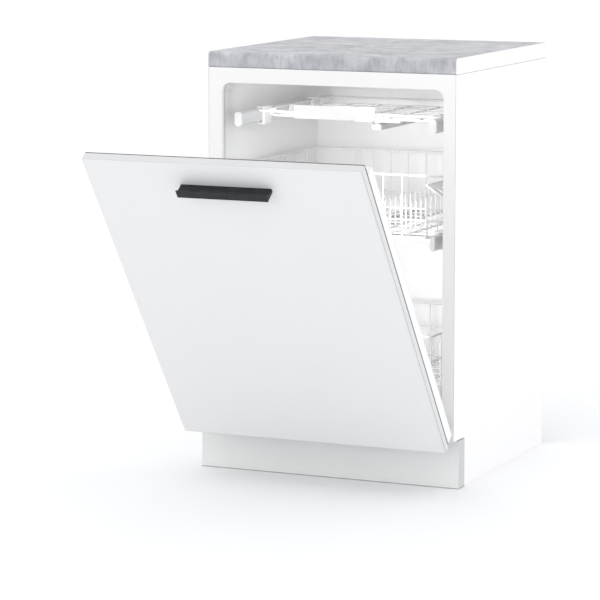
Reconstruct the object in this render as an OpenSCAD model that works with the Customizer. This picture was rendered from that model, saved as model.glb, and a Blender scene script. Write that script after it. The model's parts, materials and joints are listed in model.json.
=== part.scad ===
// Built-in dishwasher under a worktop, with its door part open.
// Millimetres, +Z up. Origin: on the floor, under the middle of the door's width, in the plane of the
// plinth board's front. Distances in y below are counted from the front of the body.

/* [Cabinet] */
// Width of the dishwasher body and of the worktop
body_w = 560; // [552:1:566]
// Depth of the dishwasher body
body_d = 553; // [548:1:580]
// Height of the body, up to the underside of the worktop
body_h = 866; // [856:1:868]
// Sideways offset of the body from the middle of the door
offset_x = 15; // [8:1:15]
// Thickness of the worktop
worktop_t = 33; // [28:1:38]

/* [Toe space] */
// Height of the toe space
toe_h = 104; // [102:1:105]
// Distance of the plinth board behind the body's front
plinth_y = 27; // [20:1:38]
// Thickness of the plinth board
plinth_t = 18; // [12:1:19]

/* [Door] */
// Width of the furniture front
door_w = 596; // [590:1:600]
// Height of the furniture front
door_h = 775; // [765:1:780]
// Thickness of the furniture front
panel_t = 18; // [16:1:18]
// Angle of the door, from closed
open_angle = 36; // [34:1:38]
// Length of the handle
handle_l = 194; // [140:2:320]

/* [Racks] */
// Half the width of the wire baskets
basket_half = 204; // [196:1:206]
// Radius of the rim wires
rim_r = 2.4; // [2:0.1:3]
// Radius of the thin wires and tines
wire_r = 1.5; // [1.2:0.1:1.8]
// Radius of the lower basket's wheels
wheel_r = 17; // [14:0.5:17]

/* [Hidden] */
$fn = 40;

xl = offset_x - body_w / 2;
xr = offset_x + body_w / 2;
sheet = 2;
frame_d = 12;
notch_d = 60;

// mouth of the tub
mx = offset_x + 2;
mouth_w = body_w - 60;
mouth_z0 = toe_h + 24;
mouth_z1 = body_h - 32;
mouth_r = 20;

// inside of the tub
tub_w = mouth_w + 10;
tub_z0 = mouth_z0 - 10;
tub_z1 = mouth_z1 + 4;
tub_y1 = body_d - 33;
tub_r = 25;
tub_t = 1;
track_z = tub_z0 + 26;
track_w = 22;

// washing gear under and in the tub
arm_y = 260;
sump_x = mx + 20;
sump_y = arm_y + 10;
sump_r = 92;
cup_x = mx + 62;
cup_y = arm_y + 34;
cup_r = 30;
base_z = 12;
salt_x = mx - 150;
salt_y = 420;
arm_l = 200;
lower_arm_z = tub_z0 + 34;
upper_arm_z = 484;
top_arm_z = 738.5;
riser_d = 8;
port_z = 511;

// door: modelled shut, then turned about its pin
hinge_y = -31;
hinge_z = toe_h - 3;
door_z0 = hinge_z + 5;
door_z1 = door_z0 + door_h;
front_y = -54;
shell_y0 = -33.5;
shell_y1 = -3.5;
liner_y1 = -2;
shell_w = door_w - 6;
shell_z1 = door_z1 - 32;
skin = 1.5;
pan_w = mouth_w - 14;
pan_z0 = mouth_z0 + 6;
pan_z1 = mouth_z1 - 6;
pan_y1 = 11;
pin_r = 3.5;
pin_x = mouth_w / 2 + 12;
notch_w = 26;
notch_z1 = hinge_z + 36;
disp_x = mx;
disp_z = 545;
disp_w = 170;
disp_h = 120;
latch_z = pan_z1 + 0.5;

// rails and racks
tray_z = 756;
tray_rail_x = 220.3;
tray_rail_w = 15.6;
tray_rail_h = 30;
up_z = 513.5;
up_rail_x = 220.7;
up_rail_w = 10.2;
up_rail_h = 31;
rail_y0 = 24;
rail_y1 = tub_y1 - 22;
rim_z_up = 653;
floor_z_up = 523;
step_z = 560;
basket_top = basket_half + 39;
rim_z_low = 312;
floor_z_low = 194;
up_y0 = 30;
up_y1 = 488;
low_y0 = 58;
low_y1 = 498;
shelf_z = 595;
shelf_w = 63;
shelf_tilt = 33;
hinge_wire_r = 2;

white = [0.95, 0.95, 0.95];
steel = [0.78, 0.79, 0.8];
plastic = [0.86, 0.87, 0.88];
dark = [0.16, 0.16, 0.17];
grey = [0.55, 0.56, 0.58];

// ---- shared shapes ----
module rounded(w, h, r) {
    square([w - 2 * r, h], center = true);
    square([w, h - 2 * r], center = true);
    for (x = [-1, 1], y = [-1, 1]) translate([x * (w / 2 - r), y * (h / 2 - r)]) circle(r);
}
module box(x0, x1, y0, y1, z0, z1) translate([x0, y0, z0]) cube([x1 - x0, y1 - y0, z1 - z0]);
// a flat shape drawn in x and z, standing between two values of y
module slab_y(y0, y1) translate([0, y1, 0]) rotate([90, 0, 0]) linear_extrude(y1 - y0) children();
// a flat shape drawn in y and z, standing between two values of x
module slab_x(x0, x1) translate([x0, 0, 0]) rotate([90, 0, 90]) linear_extrude(x1 - x0) children();
module rod_x(x0, x1, y, z, r) translate([x0, y, z]) rotate([0, 90, 0]) cylinder(h = x1 - x0, r = r);
module rod_y(x, y0, y1, z, r) translate([x, y0, z]) rotate([-90, 0, 0]) cylinder(h = y1 - y0, r = r);
module rod_z(x, y, z0, z1, r) translate([x, y, z0]) cylinder(h = z1 - z0, r = r);
module placed() translate([0, -plinth_y, 0]) children();
module tilted() placed() translate([0, hinge_y, hinge_z]) rotate([open_angle, 0, 0])
    translate([0, -hinge_y, -hinge_z]) children();
function spread(a, b, n) = [for (i = [0:n - 1]) a + (b - a) * i / (n - 1)];

// ---- cabinet ----
module worktop_profile() {
    r1 = 8;
    r2 = 4;
    difference() {
        translate([0, body_h]) square([body_d, worktop_t]);
        translate([-1, body_h + worktop_t - r1]) square([r1 + 1, r1 + 1]);
        translate([-1, body_h - 1]) square([r2 + 1, r2 + 1]);
    }
    translate([r1, body_h + worktop_t - r1]) circle(r1);
    translate([r2, body_h + r2]) circle(r2);
}
module worktop() color([0.78, 0.78, 0.8]) placed() slab_x(xl + 1, xr - 1) worktop_profile();
module worktop_bands() color(white) placed() for (x = [xl, xr - 1]) slab_x(x, x + 1) worktop_profile();

module side_shape() difference() {
    square([body_d, body_h]);
    translate([-1, -1]) square([notch_d + 1, toe_h + 1]);
}
module left_panel() color(white) placed() slab_x(xl, xl + sheet) side_shape();
module right_panel() color(white) placed() slab_x(xr - sheet, xr) side_shape();

module mouth(grow = 0) translate([mx, (mouth_z0 + mouth_z1) / 2])
    rounded(mouth_w + 2 * grow, mouth_z1 - mouth_z0 + 2 * grow, mouth_r + grow);
module front_frame() color(white) placed() difference() {
    box(xl + sheet, xr - sheet, 0, frame_d, toe_h, body_h);
    slab_y(-1, frame_d + 1) mouth();
    for (s = [-1, 1]) box(mx + s * pin_x - 4, mx + s * pin_x + 4, -1, frame_d + 1, hinge_z + 5, hinge_z + 27);
}
module back_panel() color(steel) placed() difference() {
    box(xl + sheet, xr - sheet, body_d - sheet, body_d, toe_h + 8, body_h);
    for (z = spread(180, 300, 7)) box(mx - 60, mx + 60, body_d - 4, body_d + 1, z, z + 5);
}
module tub() color(steel) placed() {
    difference() {
        slab_y(frame_d, tub_y1 + tub_t) translate([mx, (tub_z0 + tub_z1) / 2])
            rounded(tub_w + 2 * tub_t, tub_z1 - tub_z0 + 2 * tub_t, tub_r + tub_t);
        slab_y(frame_d - 1, tub_y1) translate([mx, (tub_z0 + tub_z1) / 2])
            rounded(tub_w, tub_z1 - tub_z0, tub_r);
        rod_z(sump_x, sump_y, tub_z0 - 3, tub_z0 + 1, sump_r);
        rod_z(salt_x, salt_y, tub_z0 - 3, tub_z0 + 1, 34);
        rod_y(mx, tub_y1 - 1, tub_y1 + 2, port_z, 7.3);
        box(mx - 11.3, mx + 11.3, tub_y1 - 1, tub_y1 + 2, top_arm_z - 17.3, top_arm_z - 4.7);
    }
    for (s = [-1, 1]) translate([mx, 0, 0]) {
        x = s * (tub_w / 2 - track_w / 2);
        box(x - track_w / 2, x + track_w / 2, 20, tub_y1, track_z - 1.5, track_z);
        box(x - s * track_w / 2 - 0.75, x - s * track_w / 2 + 0.75, 20, tub_y1, tub_z0, track_z);
    }
}
module door_seal() color(grey) placed() slab_y(frame_d, frame_d + 7) difference() {
    mouth(3.8);
    mouth(0.8);
}
module base_tray() color(grey) placed() difference() {
    box(xl + sheet, xr - sheet, notch_d, body_d - 20, base_z, tub_z0 - tub_t);
    box(xl + sheet + 3, xr - sheet - 3, notch_d + 3, body_d - 23, base_z + 3, tub_z0);
    for (x = [xl + 40, xr - 40], y = [notch_d + 40, body_d - 60]) rod_z(x, y, base_z - 1, base_z + 4, 5.2);
    rod_y(mx + 190, body_d - 30, body_d, 52, 13.6);
    rod_y(mx - 170, body_d - 30, body_d, 50, 11.2);
    rod_y(mx - 90, body_d - 30, body_d, 50, 8.2);
}
module levelling_feet() color(dark) placed() for (x = [xl + 40, xr - 40], y = [notch_d + 40, body_d - 60]) {
    rod_z(x, y, 0, 6, 18);
    rod_z(x, y, 6, base_z + 16, 5);
    translate([x, y, base_z - 4]) cylinder(h = 4, r = 9, $fn = 6);
}
module plinth_board() color([0.86, 0.88, 0.87]) placed()
    box(-door_w / 2 + 2, door_w / 2 - 2, plinth_y, plinth_y + plinth_t, 0, toe_h - 2);
module plinth_clips() color(grey) placed() for (x = [mx - 150, mx + 150]) {
    box(x - 12, x + 12, plinth_y + plinth_t, notch_d, 50, 53);
    box(x - 12, x + 12, plinth_y + plinth_t, plinth_y + plinth_t + 3, 53, 76);
}

// ---- washing gear ----
module sump() color(grey) placed() difference() {
    union() {
        rod_z(sump_x, sump_y, 76, tub_z0 - tub_t, sump_r + 3);
        rod_z(sump_x, sump_y, tub_z0 - tub_t - 4, tub_z0 - tub_t, sump_r + 9);
        rod_x(sump_x + sump_r - 10, mx + 120, 290, 84, 5);
    }
    rod_z(sump_x, sump_y, 79, tub_z0 + 1, sump_r);
}
module spray_hub() color(plastic) placed() {
    rod_z(mx, arm_y, 79, lower_arm_z - 1, 14);
    rod_z(mx, arm_y, lower_arm_z - 1, lower_arm_z + 16, 8);
    rod_z(mx, arm_y, lower_arm_z + 16, lower_arm_z + 19, 12);
}
module filter_plate() color(steel) placed() difference() {
    rod_z(sump_x, sump_y, tub_z0, tub_z0 + 1.5, sump_r + 6);
    rod_z(mx, arm_y, tub_z0 - 1, tub_z0 + 3, 14.4);
    rod_z(cup_x, cup_y, tub_z0 - 1, tub_z0 + 3, cup_r + 0.4);
}
module filter_cup() color(plastic) placed() {
    difference() {
        rod_z(cup_x, cup_y, 82, tub_z0 + 4, cup_r);
        rod_z(cup_x, cup_y, 84, tub_z0 + 5, cup_r - 2);
        for (a = [0:30:150]) translate([cup_x, cup_y, 88]) rotate([0, 0, a + 15])
            box(-40, 40, -2, 2, 0, 22);
    }
    difference() {
        rod_z(cup_x, cup_y, tub_z0 + 2, tub_z0 + 4, cup_r + 4);
        rod_z(cup_x, cup_y, tub_z0 + 1, tub_z0 + 5, cup_r - 1);
    }
    box(cup_x - cup_r + 1, cup_x + cup_r - 1, cup_y - 2, cup_y + 2, tub_z0 - 12, tub_z0 + 12);
}
module circulation_pump() color(dark) placed() {
    rod_x(mx + 120, mx + 175, 300, 55, 34);
    rod_x(mx + 175, mx + 225, 300, 55, 28);
    rod_z(mx + 140, 300, base_z + 3, 40, 16);
}
module heater() color(steel) placed() {
    rod_x(mx + 225, mx + 268, 300, 55, 24);
    rod_z(mx + 246, 300, base_z + 3, 34, 12);
}
module drain_pump() color(dark) placed() {
    rod_x(mx - 40, mx - 6, 200, 46, 26);
    rod_x(mx - 82, mx - 40, 200, 46, 19);
    rod_z(mx - 24, 200, base_z + 3, 24, 12);
    rod_z(mx - 22, 200, 68, 76, 9);
}
module softener() color(plastic) placed() {
    box(salt_x - 70, salt_x + 50, salt_y - 60, salt_y + 60, base_z + 3, tub_z0 - 24);
    difference() {
        rod_z(salt_x, salt_y, tub_z0 - 24, tub_z0 + 2, 34);
        rod_z(salt_x, salt_y, tub_z0 - 20, tub_z0 + 3, 29.4);
    }
}
module salt_cap() color(white) placed() {
    rod_z(salt_x, salt_y, tub_z0 - 14, tub_z0 + 2.4, 29);
    rod_z(salt_x, salt_y, tub_z0 + 2.4, tub_z0 + 6, 35);
    box(salt_x - 28, salt_x + 28, salt_y - 3, salt_y + 3, tub_z0 + 6, tub_z0 + 14);
}
module inlet_valve() color(white) placed() {
    box(mx + 165, mx + 215, body_d - 75, body_d - 35, base_z + 3, 78);
    difference() {
        union() {
            rod_y(mx + 190, body_d - 35, body_d - 19.5, 52, 12.2);
            rod_y(mx + 190, body_d - 19.5, body_d - 2, 52, 13.2);
        }
        rod_y(mx + 190, body_d - 30, body_d - 1, 52, 9);
    }
}
module drain_outlet() color(dark) placed() difference() {
    union() {
        rod_y(mx - 170, body_d - 60, body_d - 19.5, 50, 9.8);
        rod_y(mx - 170, body_d - 19.5, body_d - 2, 50, 10.8);
        rod_y(mx - 170, body_d - 30, body_d - 23, 50, 16);
    }
    rod_y(mx - 170, body_d - 58, body_d, 50, 8.4);
}
module mains_inlet() color(dark) placed() difference() {
    union() {
        rod_y(mx - 90, body_d - 34, body_d - 8, 50, 8);
        rod_y(mx - 90, body_d - 30, body_d - 23, 50, 12);
    }
    rod_y(mx - 90, body_d - 35, body_d, 50, 4);
}
// a flat duct behind the tub, with a spout for each of the two higher arms
module riser_tube() color(plastic) placed() {
    y0 = tub_y1 + tub_t + 0.3;
    box(mx - 20, mx + 20, y0, y0 + riser_d, 84, top_arm_z + 4);
    box(mx - 10, mx + 10, sump_y + sump_r + 3.2, y0, 84, 92);
    rod_y(mx, tub_y1 - 12, y0, port_z, 7);
    box(mx - 11, mx + 11, arm_y - 11, y0, top_arm_z - 17, top_arm_z - 5);
    rod_z(mx, arm_y, top_arm_z - 5, top_arm_z + 13.5, 7);
    rod_z(mx, arm_y, top_arm_z - 5, top_arm_z - 2.5, 11);
    rod_z(mx, arm_y, top_arm_z + 11.5, top_arm_z + 13.5, 11);
}
module arm_blade(z, l, w, h, bore, hub) translate([mx, arm_y, z]) difference() {
    union() {
        linear_extrude(h) rounded(2 * l, w, w / 2 - 0.5);
        translate([0, 0, -1]) cylinder(h = h + 2, r = hub);
    }
    translate([0, 0, -2]) cylinder(h = h + 4, r = bore);
    for (s = [-1, 1], x = spread(hub + 8, l - 12, l > 100 ? 6 : 2))
        translate([s * x, s * 5, h - 3]) cylinder(h = 5, r = 1.6);
}
module lower_arm() color(steel) placed() arm_blade(lower_arm_z + 2, arm_l, 44, 12, 8.06, 24);
module upper_arm() color(steel) placed() arm_blade(upper_arm_z + 2, arm_l, 38, 11, 8.06, 24);
module top_arm() color(steel) placed() arm_blade(top_arm_z, 64, 30, 10, 7.06, 17);
module upper_feed() color(plastic) placed() {
    rod_z(mx, arm_y, upper_arm_z, upper_arm_z + 26, 8);
    rod_z(mx, arm_y, upper_arm_z - 3, upper_arm_z, 12);
    box(mx - 14, mx + 14, arm_y - 14, tub_y1 - 14.5, upper_arm_z + 18, floor_z_up - rim_r);
}

// ---- hinges ----
module hinge_brackets() color(steel) placed() for (s = [-1, 1]) {
    x = mx + s * pin_x;
    slab_x(x - 1.5, x + 1.5) difference() {
        union() {
            translate([hinge_y, hinge_z]) circle(6.4);
            translate([hinge_y, hinge_z - 1]) square([-hinge_y - 1, 10]);
            translate([hinge_y + 22, hinge_z + 7]) square([-hinge_y + 20, 13]);
        }
        translate([hinge_y, hinge_z]) circle(pin_r);
    }
    box(x + min(0, s * 9), x + max(0, s * 9), frame_d, frame_d + 3, hinge_z + 7, hinge_z + 20);
}
module hinge_pins() color(steel) placed() for (s = [-1, 1])
    rod_x(mx + s * pin_x - 11, mx + s * pin_x + 11, hinge_y, hinge_z, pin_r);
module hinge_springs() color(steel) placed() for (s = [-1, 1], i = [0:2])
    translate([mx + s * (pin_x + 3.2 + 2.3 * i), hinge_y, hinge_z]) rotate([0, 90, 0])
        rotate_extrude() translate([5, 0]) circle(1.1);
module hinge_arms() color(steel) tilted() for (s = [-1, 1]) {
    x = mx + s * (pin_x - 6);
    slab_x(x - 1.5, x + 1.5) difference() {
        union() {
            translate([hinge_y, hinge_z]) circle(6.4);
            translate([hinge_y - 1, hinge_z]) square([12, notch_z1 - hinge_z]);
        }
        translate([hinge_y, hinge_z]) circle(pin_r + 0.06);
    }
    box(x - 5, x + 4, hinge_y + 2, hinge_y + 22, notch_z1 - 3, notch_z1);
}

// ---- door ----
module front_panel() color(white) tilted() difference() {
    box(-door_w / 2, door_w / 2, front_y, front_y + panel_t, door_z0, door_z1);
    for (x = [-64, 64]) rod_y(x, front_y - 1, front_y + panel_t + 1, door_z1 - 59.5, 2.2);
}
module handle() color(dark) tilted() difference() {
    top = [[0, 0], [-15, -0.3], [-24.5, 5.8], [-27, 7], [-27, -11]];
    translate([0, front_y, door_z1 - 55]) {
        slab_x(-handle_l / 2, handle_l / 2)
            polygon(concat(top, [[-24, -11], [-24, 1.4], [-16, -4.2], [-11, -9], [0, -9.5]]));
        for (x = [-handle_l / 2, handle_l / 2 - 2.5]) slab_x(x, x + 2.5) polygon(concat(top, [[0, -9.5]]));
    }
    for (x = [-64, 64]) rod_y(x, front_y - 9, front_y + 1, door_z1 - 59.5, 2.1);
}
module handle_screws() color(steel) tilted() for (x = [-64, 64]) {
    rod_y(x, front_y - 8, front_y + panel_t, door_z1 - 59.5, 2);
    rod_y(x, front_y + panel_t, front_y + panel_t + 2, door_z1 - 59.5, 4);
}
module door_fixings() color(grey) tilted()
    for (x = [-240, 240], z = [door_z0 + 80, door_z1 - 140])
        rod_y(x, front_y + panel_t, shell_y0, z, 14);

module hinge_notches() for (s = [-1, 1])
    box(mx + s * pin_x - notch_w / 2, mx + s * pin_x + notch_w / 2, shell_y0 - 1, 0, door_z0 - 1, notch_z1);
module door_shell() color(white) tilted() difference() {
    box(-shell_w / 2, shell_w / 2, shell_y0, shell_y1, door_z0, shell_z1);
    difference() {
        box(-shell_w / 2 + skin, shell_w / 2 - skin, shell_y0 + skin, shell_y1 + 1,
            door_z0 + skin, shell_z1 - skin);
        for (s = [-1, 1]) box(mx + s * pin_x - notch_w / 2 - skin, mx + s * pin_x + notch_w / 2 + skin,
            shell_y0, shell_y1, door_z0, notch_z1 + skin);
    }
    hinge_notches();
    box(mx - 200, mx + 200, shell_y0 + 4, shell_y1 - 4, shell_z1 - 3, shell_z1 + 1);
}
module inner_liner() color(steel) tilted() difference() {
    union() {
        box(-shell_w / 2, shell_w / 2, shell_y1, liner_y1, door_z0, shell_z1);
        slab_y(liner_y1, pan_y1) translate([mx, (pan_z0 + pan_z1) / 2]) rounded(pan_w, pan_z1 - pan_z0, 18);
    }
    slab_y(shell_y1 - 1, pan_y1 - skin) translate([mx, (pan_z0 + pan_z1) / 2])
        rounded(pan_w - 2 * skin, pan_z1 - pan_z0 - 2 * skin, 18 - skin);
    hinge_notches();
    box(disp_x - disp_w / 2, disp_x + disp_w / 2, -5, pan_y1 + 1,
        disp_z - disp_h / 2, disp_z + disp_h / 2);
    box(mx - 14, mx + 14, -5, pan_y1 + 2, pan_z1 + 0.2, pan_z1 + 8);
}
button_x = [-160, -90, 160];
module control_strip() color(dark) tilted() difference() {
    box(mx - 200, mx + 200, shell_y0 + 4, shell_y1 - 4, shell_z1 - 3, shell_z1);
    for (x = button_x) translate([mx + x, (shell_y0 + shell_y1) / 2, shell_z1 - 4])
        linear_extrude(5) rounded(30, 12, 5);
}
module button(x) color(grey) tilted() translate([mx + x, (shell_y0 + shell_y1) / 2, shell_z1 - 4.5]) {
    linear_extrude(5.5) rounded(29.2, 11.2, 4.6);
    translate([0, 0, -2]) linear_extrude(2) rounded(33, 15, 5);
}
module power_button() button(button_x[0]);
module program_button() button(button_x[1]);
module start_button() button(button_x[2]);
module control_board() color([0.2, 0.4, 0.3]) tilted() {
    box(mx - 195, mx + 195, shell_y0 + 6, shell_y1 - 6, shell_z1 - 12, shell_z1 - 10.4);
    for (x = [-186, -125, -40, 40, 125, 186])
        rod_z(mx + x, (shell_y0 + shell_y1) / 2, shell_z1 - 10.4, shell_z1 - 3, 3);
}
module latch_case() color(dark) tilted() difference() {
    box(mx - 22, mx + 22, shell_y0 + skin, shell_y1, latch_z - 10, shell_z1 - 12.6);
    box(mx - 12.4, mx + 12.4, shell_y0 + 7, 0, latch_z - 0.3, latch_z + 6);
}
module latch_bolt() color(steel) tilted() {
    box(mx - 12, mx + 12, shell_y0 + 8, 13, latch_z, latch_z + 2);
    box(mx - 12, mx + 12, 13, 15, latch_z, latch_z + 3.4);
}
lid_z = disp_z - 53;
lid_y = pan_y1 + 4.2;
module dispenser() color(plastic) tilted() {
    difference() {
        box(disp_x - disp_w / 2, disp_x + disp_w / 2, -24, pan_y1 + 1.5,
            disp_z - disp_h / 2, disp_z + disp_h / 2);
        box(disp_x - 74, disp_x + 10, -18, pan_y1 + 2, disp_z - 46, disp_z + 46);
        rod_y(disp_x + 48, -18, pan_y1 + 2, disp_z, 16.4);
    }
    for (x = [disp_x - 81, disp_x + 14.4]) difference() {
        box(x, x + 3, pan_y1 + 1.5, pan_y1 + 6.4, lid_z - 2.6, lid_z + 2.6);
        rod_x(x - 1, x + 4, lid_y, lid_z, 1.26);
    }
}
module dispenser_lid() color(plastic) tilted() {
    slab_y(pan_y1 + 1.9, pan_y1 + 4.4) translate([disp_x - 32, disp_z]) rounded(92, 104, 6);
    rod_x(disp_x - 77.6, disp_x + 14, lid_y, lid_z, 2.2);
    rod_x(disp_x - 81, disp_x + 17.4, lid_y, lid_z, 1.2);
}
module rinse_cap() color(grey) tilted() {
    rod_y(disp_x + 48, -10, pan_y1 + 1.5, disp_z, 16);
    rod_y(disp_x + 48, pan_y1 + 1.8, pan_y1 + 3.4, disp_z, 20);
    box(disp_x + 46, disp_x + 50, pan_y1 + 1.4, pan_y1 + 6, disp_z - 15, disp_z + 15);
}

// ---- rails ----
module rail(x, w, h, z) for (s = [-1, 1]) {
    slab_y(rail_y0, rail_y1) translate([mx + s * x, z]) rounded(w, h, w / 2 - 0.6);
    for (y = [90, rail_y1 - 70]) {
        a = min(s * (x + w / 2 - 1), s * tub_w / 2);
        b = max(s * (x + w / 2 - 1), s * tub_w / 2);
        box(mx + a, mx + b, y, y + 24, z - 7, z + 7);
    }
}
module tray_rails() color(plastic) placed() rail(tray_rail_x, tray_rail_w, tray_rail_h, tray_z);
module upper_rails() color(plastic) placed() rail(up_rail_x, up_rail_w, up_rail_h, up_z);
module rail_caps() color(white) placed() for (s = [-1, 1]) slab_y(rail_y0 - 8, rail_y0) {
    translate([mx + s * tray_rail_x, tray_z]) rounded(tray_rail_w, tray_rail_h, tray_rail_w / 2 - 0.6);
    translate([mx + s * up_rail_x, up_z]) rounded(up_rail_w, up_rail_h, up_rail_w / 2 - 0.6);
}
// a shoe that holds a rail from inside, above and below
module shoe(s, x, w, h, z, y, x_in) {
    a = min(s * x_in, s * (x - w / 2 - 0.4));
    b = max(s * x_in, s * (x - w / 2 - 0.4));
    c = min(s * x_in, s * (x + w / 4));
    d = max(s * x_in, s * (x + w / 4));
    box(mx + a, mx + b, y, y + 40, z - h / 2 - 3.4, z + h / 2 + 3.4);
    for (t = [z - h / 2 - 3.4, z + h / 2 + 0.4]) box(mx + c, mx + d, y, y + 40, t, t + 3);
}

// ---- cutlery tray ----
tray_y0 = 88;
tray_y1 = rail_y1 - 14;
tray_half = 207;
module cutlery_tray() color(plastic) placed() {
    z = tray_z + 13;
    low_z = z - 12;
    low_half = tray_half - 14;
    ring(tray_half, tray_y0, tray_y1, z, rim_r);
    ring(low_half, tray_y0 + 38, tray_y1 - 38, low_z, rim_r);
    for (y = spread(tray_y0 + 78, tray_y1 - 78, 7)) rod_x(mx - low_half, mx + low_half, y, low_z, wire_r);
    for (x = spread(-140, 140, 5)) rod_y(mx + x, tray_y0 + 38, tray_y1 - 38, low_z, wire_r);
    for (s = [-1, 1], y = [tray_y0 + 60, 250, tray_y1 - 64]) {
        a = s * (low_half - 1);
        b = s * (tray_half + 0.7);
        box(mx + min(a, b), mx + max(a, b), y, y + 6, low_z - 1, z + 1);
    }
    for (s = [-1, 1], y = [120, 380])
        shoe(s, tray_rail_x, tray_rail_w, tray_rail_h, tray_z, y, tray_half - 1.3);
}
module tray_front() color(white) placed() {
    slab_y(16, 20) translate([mx, tray_z + 21]) square([182, 28], center = true);
    for (x = [-80, 80]) box(mx + x - 3, mx + x + 3, 20, tray_y0 - rim_r, tray_z + 11, tray_z + 15);
}

// ---- upper basket ----
module ring(x, y0, y1, z, r) {
    for (y = [y0, y1]) rod_x(mx - x, mx + x, y, z, r);
    for (s = [-1, 1]) rod_y(mx + s * x, y0, y1, z, r);
    for (s = [-1, 1], y = [y0, y1]) translate([mx + s * x, y, z]) sphere(r);
}
module upper_basket() color(plastic) placed() {
    ring(basket_top, up_y0, up_y1, rim_z_up, rim_r);
    ring(basket_top, up_y0, up_y1, step_z, hinge_wire_r);
    ring(basket_half, up_y0, up_y1, floor_z_up, rim_r);
    rod_x(mx - basket_top, mx + basket_top, up_y0, rim_z_up - 69, wire_r);
    for (s = [-1, 1]) {
        rod_y(mx + s * basket_top, up_y0, up_y1, shelf_z, hinge_wire_r);
        for (y = spread(up_y0, up_y1, 9)) {
            rod_z(mx + s * basket_top, y, step_z, rim_z_up, wire_r);
            rod_z(mx + s * basket_half, y, floor_z_up, step_z, wire_r);
            if (y > up_y0 && y < up_y1)
                rod_x(mx + min(s * basket_half, s * basket_top), mx + max(s * basket_half, s * basket_top),
                    y, step_z, wire_r);
        }
    }
    for (x = spread(-147.5, 147.5, 8), y = [up_y0, up_y1]) rod_z(mx + x, y, floor_z_up, rim_z_up, wire_r);
    for (y = spread(up_y0, up_y1, 9)) rod_x(mx - basket_half, mx + basket_half, y, floor_z_up, wire_r);
    for (x = spread(-140, 140, 5)) rod_y(mx + x, up_y0, up_y1, floor_z_up, wire_r);
    for (x = [-140, -70, 70, 140], y = spread(up_y0 + 42.9, up_y1 - 42.9, 14))
        rod_z(mx + x, y, floor_z_up, floor_z_up + 64, wire_r);
    for (s = [-1, 1], y = [70, 340]) shoe(s, up_rail_x, up_rail_w, up_rail_h, up_z, y, basket_half - 1);
}
module cup_shelf(s) color(plastic) placed() translate([mx + s * basket_top, 0, shelf_z])
    mirror([s > 0 ? 0 : 1, 0, 0]) rotate([0, shelf_tilt, 0]) {
        for (y = [112, 287]) difference() {
            union() {
                rod_y(0, y - 6, y + 6, 0, 5);
                box(-14, 0, y - 6, y + 6, -1.5, 1.5);
            }
            rod_y(0, y - 7, y + 7, 0, hinge_wire_r + 0.06);
        }
        difference() {
            box(-shelf_w, -9, 62, 332, -1.5, 1.5);
            for (y = spread(80, 305, 9)) box(14 - shelf_w, -18, y, y + 9, -2, 2);
        }
        rod_y(-shelf_w, 62, 332, 0, 2.6);
    }
module cup_shelf_l() cup_shelf(-1);
module cup_shelf_r() cup_shelf(1);

// ---- lower basket ----
wheel_y = [110, 430];
wheel_x = tub_w / 2 - 13;
wheel_z = track_z + wheel_r + 0.4;
module lower_basket() color(plastic) placed() {
    for (z = [rim_z_low, floor_z_low]) ring(basket_half, low_y0, low_y1, z, rim_r);
    ring(basket_half, low_y0, low_y1, floor_z_low + 66, wire_r);
    for (x = spread(-basket_half, basket_half, 8), y = [low_y0, low_y1])
        rod_z(mx + x, y, floor_z_low, rim_z_low, wire_r);
    for (y = spread(low_y0, low_y1, 9)) {
        if (y > low_y0 && y < low_y1) for (s = [-1, 1])
            rod_z(mx + s * basket_half, y, floor_z_low, rim_z_low, wire_r);
        rod_x(mx - basket_half, mx + basket_half, y, floor_z_low, wire_r);
    }
    for (x = spread(-150, 150, 5)) rod_y(mx + x, low_y0, low_y1, floor_z_low, wire_r);
    for (x = [-150, -75, 75, 150], y = spread(low_y0 + 27.5, low_y1 - 27.5, 8))
        rod_z(mx + x, y, floor_z_low, floor_z_low + 72, wire_r);
    for (s = [-1, 1], y = wheel_y) {
        a = mx + s * (basket_half + 1);
        b = mx + s * (basket_half + 7);
        c = mx + s * (wheel_x + 6.5);
        box(min(a, b), max(a, b), y - 13, y + 13, wheel_z - 10, floor_z_low + 6);
        rod_x(min(b, c), max(b, c), y, wheel_z, 4);
        rod_x(mx + s * (wheel_x + 5.5) - 1, mx + s * (wheel_x + 5.5) + 1, y, wheel_z, 7);
    }
}
module wheels(y) color(grey) placed() for (s = [-1, 1]) difference() {
    rod_x(mx + s * wheel_x - 4, mx + s * wheel_x + 4, y, wheel_z, wheel_r);
    rod_x(mx + s * wheel_x - 5, mx + s * wheel_x + 5, y, wheel_z, 4.06);
}
module wheels_front() wheels(wheel_y[0]);
module wheels_rear() wheels(wheel_y[1]);

worktop();
worktop_bands();
left_panel();
right_panel();
front_frame();
back_panel();
tub();
door_seal();
base_tray();
levelling_feet();
plinth_board();
plinth_clips();
sump();
spray_hub();
filter_plate();
filter_cup();
circulation_pump();
heater();
drain_pump();
softener();
salt_cap();
inlet_valve();
drain_outlet();
mains_inlet();
riser_tube();
top_arm();
lower_arm();
upper_arm();
upper_feed();
hinge_brackets();
hinge_pins();
hinge_springs();
hinge_arms();
front_panel();
handle();
handle_screws();
door_fixings();
door_shell();
inner_liner();
control_strip();
control_board();
power_button();
program_button();
start_button();
latch_case();
latch_bolt();
dispenser();
dispenser_lid();
rinse_cap();
tray_rails();
upper_rails();
rail_caps();
cutlery_tray();
tray_front();
upper_basket();
cup_shelf_l();
cup_shelf_r();
lower_basket();
wheels_front();
wheels_rear();
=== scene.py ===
import json
import math

import bmesh
import bpy
from mathutils import Matrix, Vector


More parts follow.
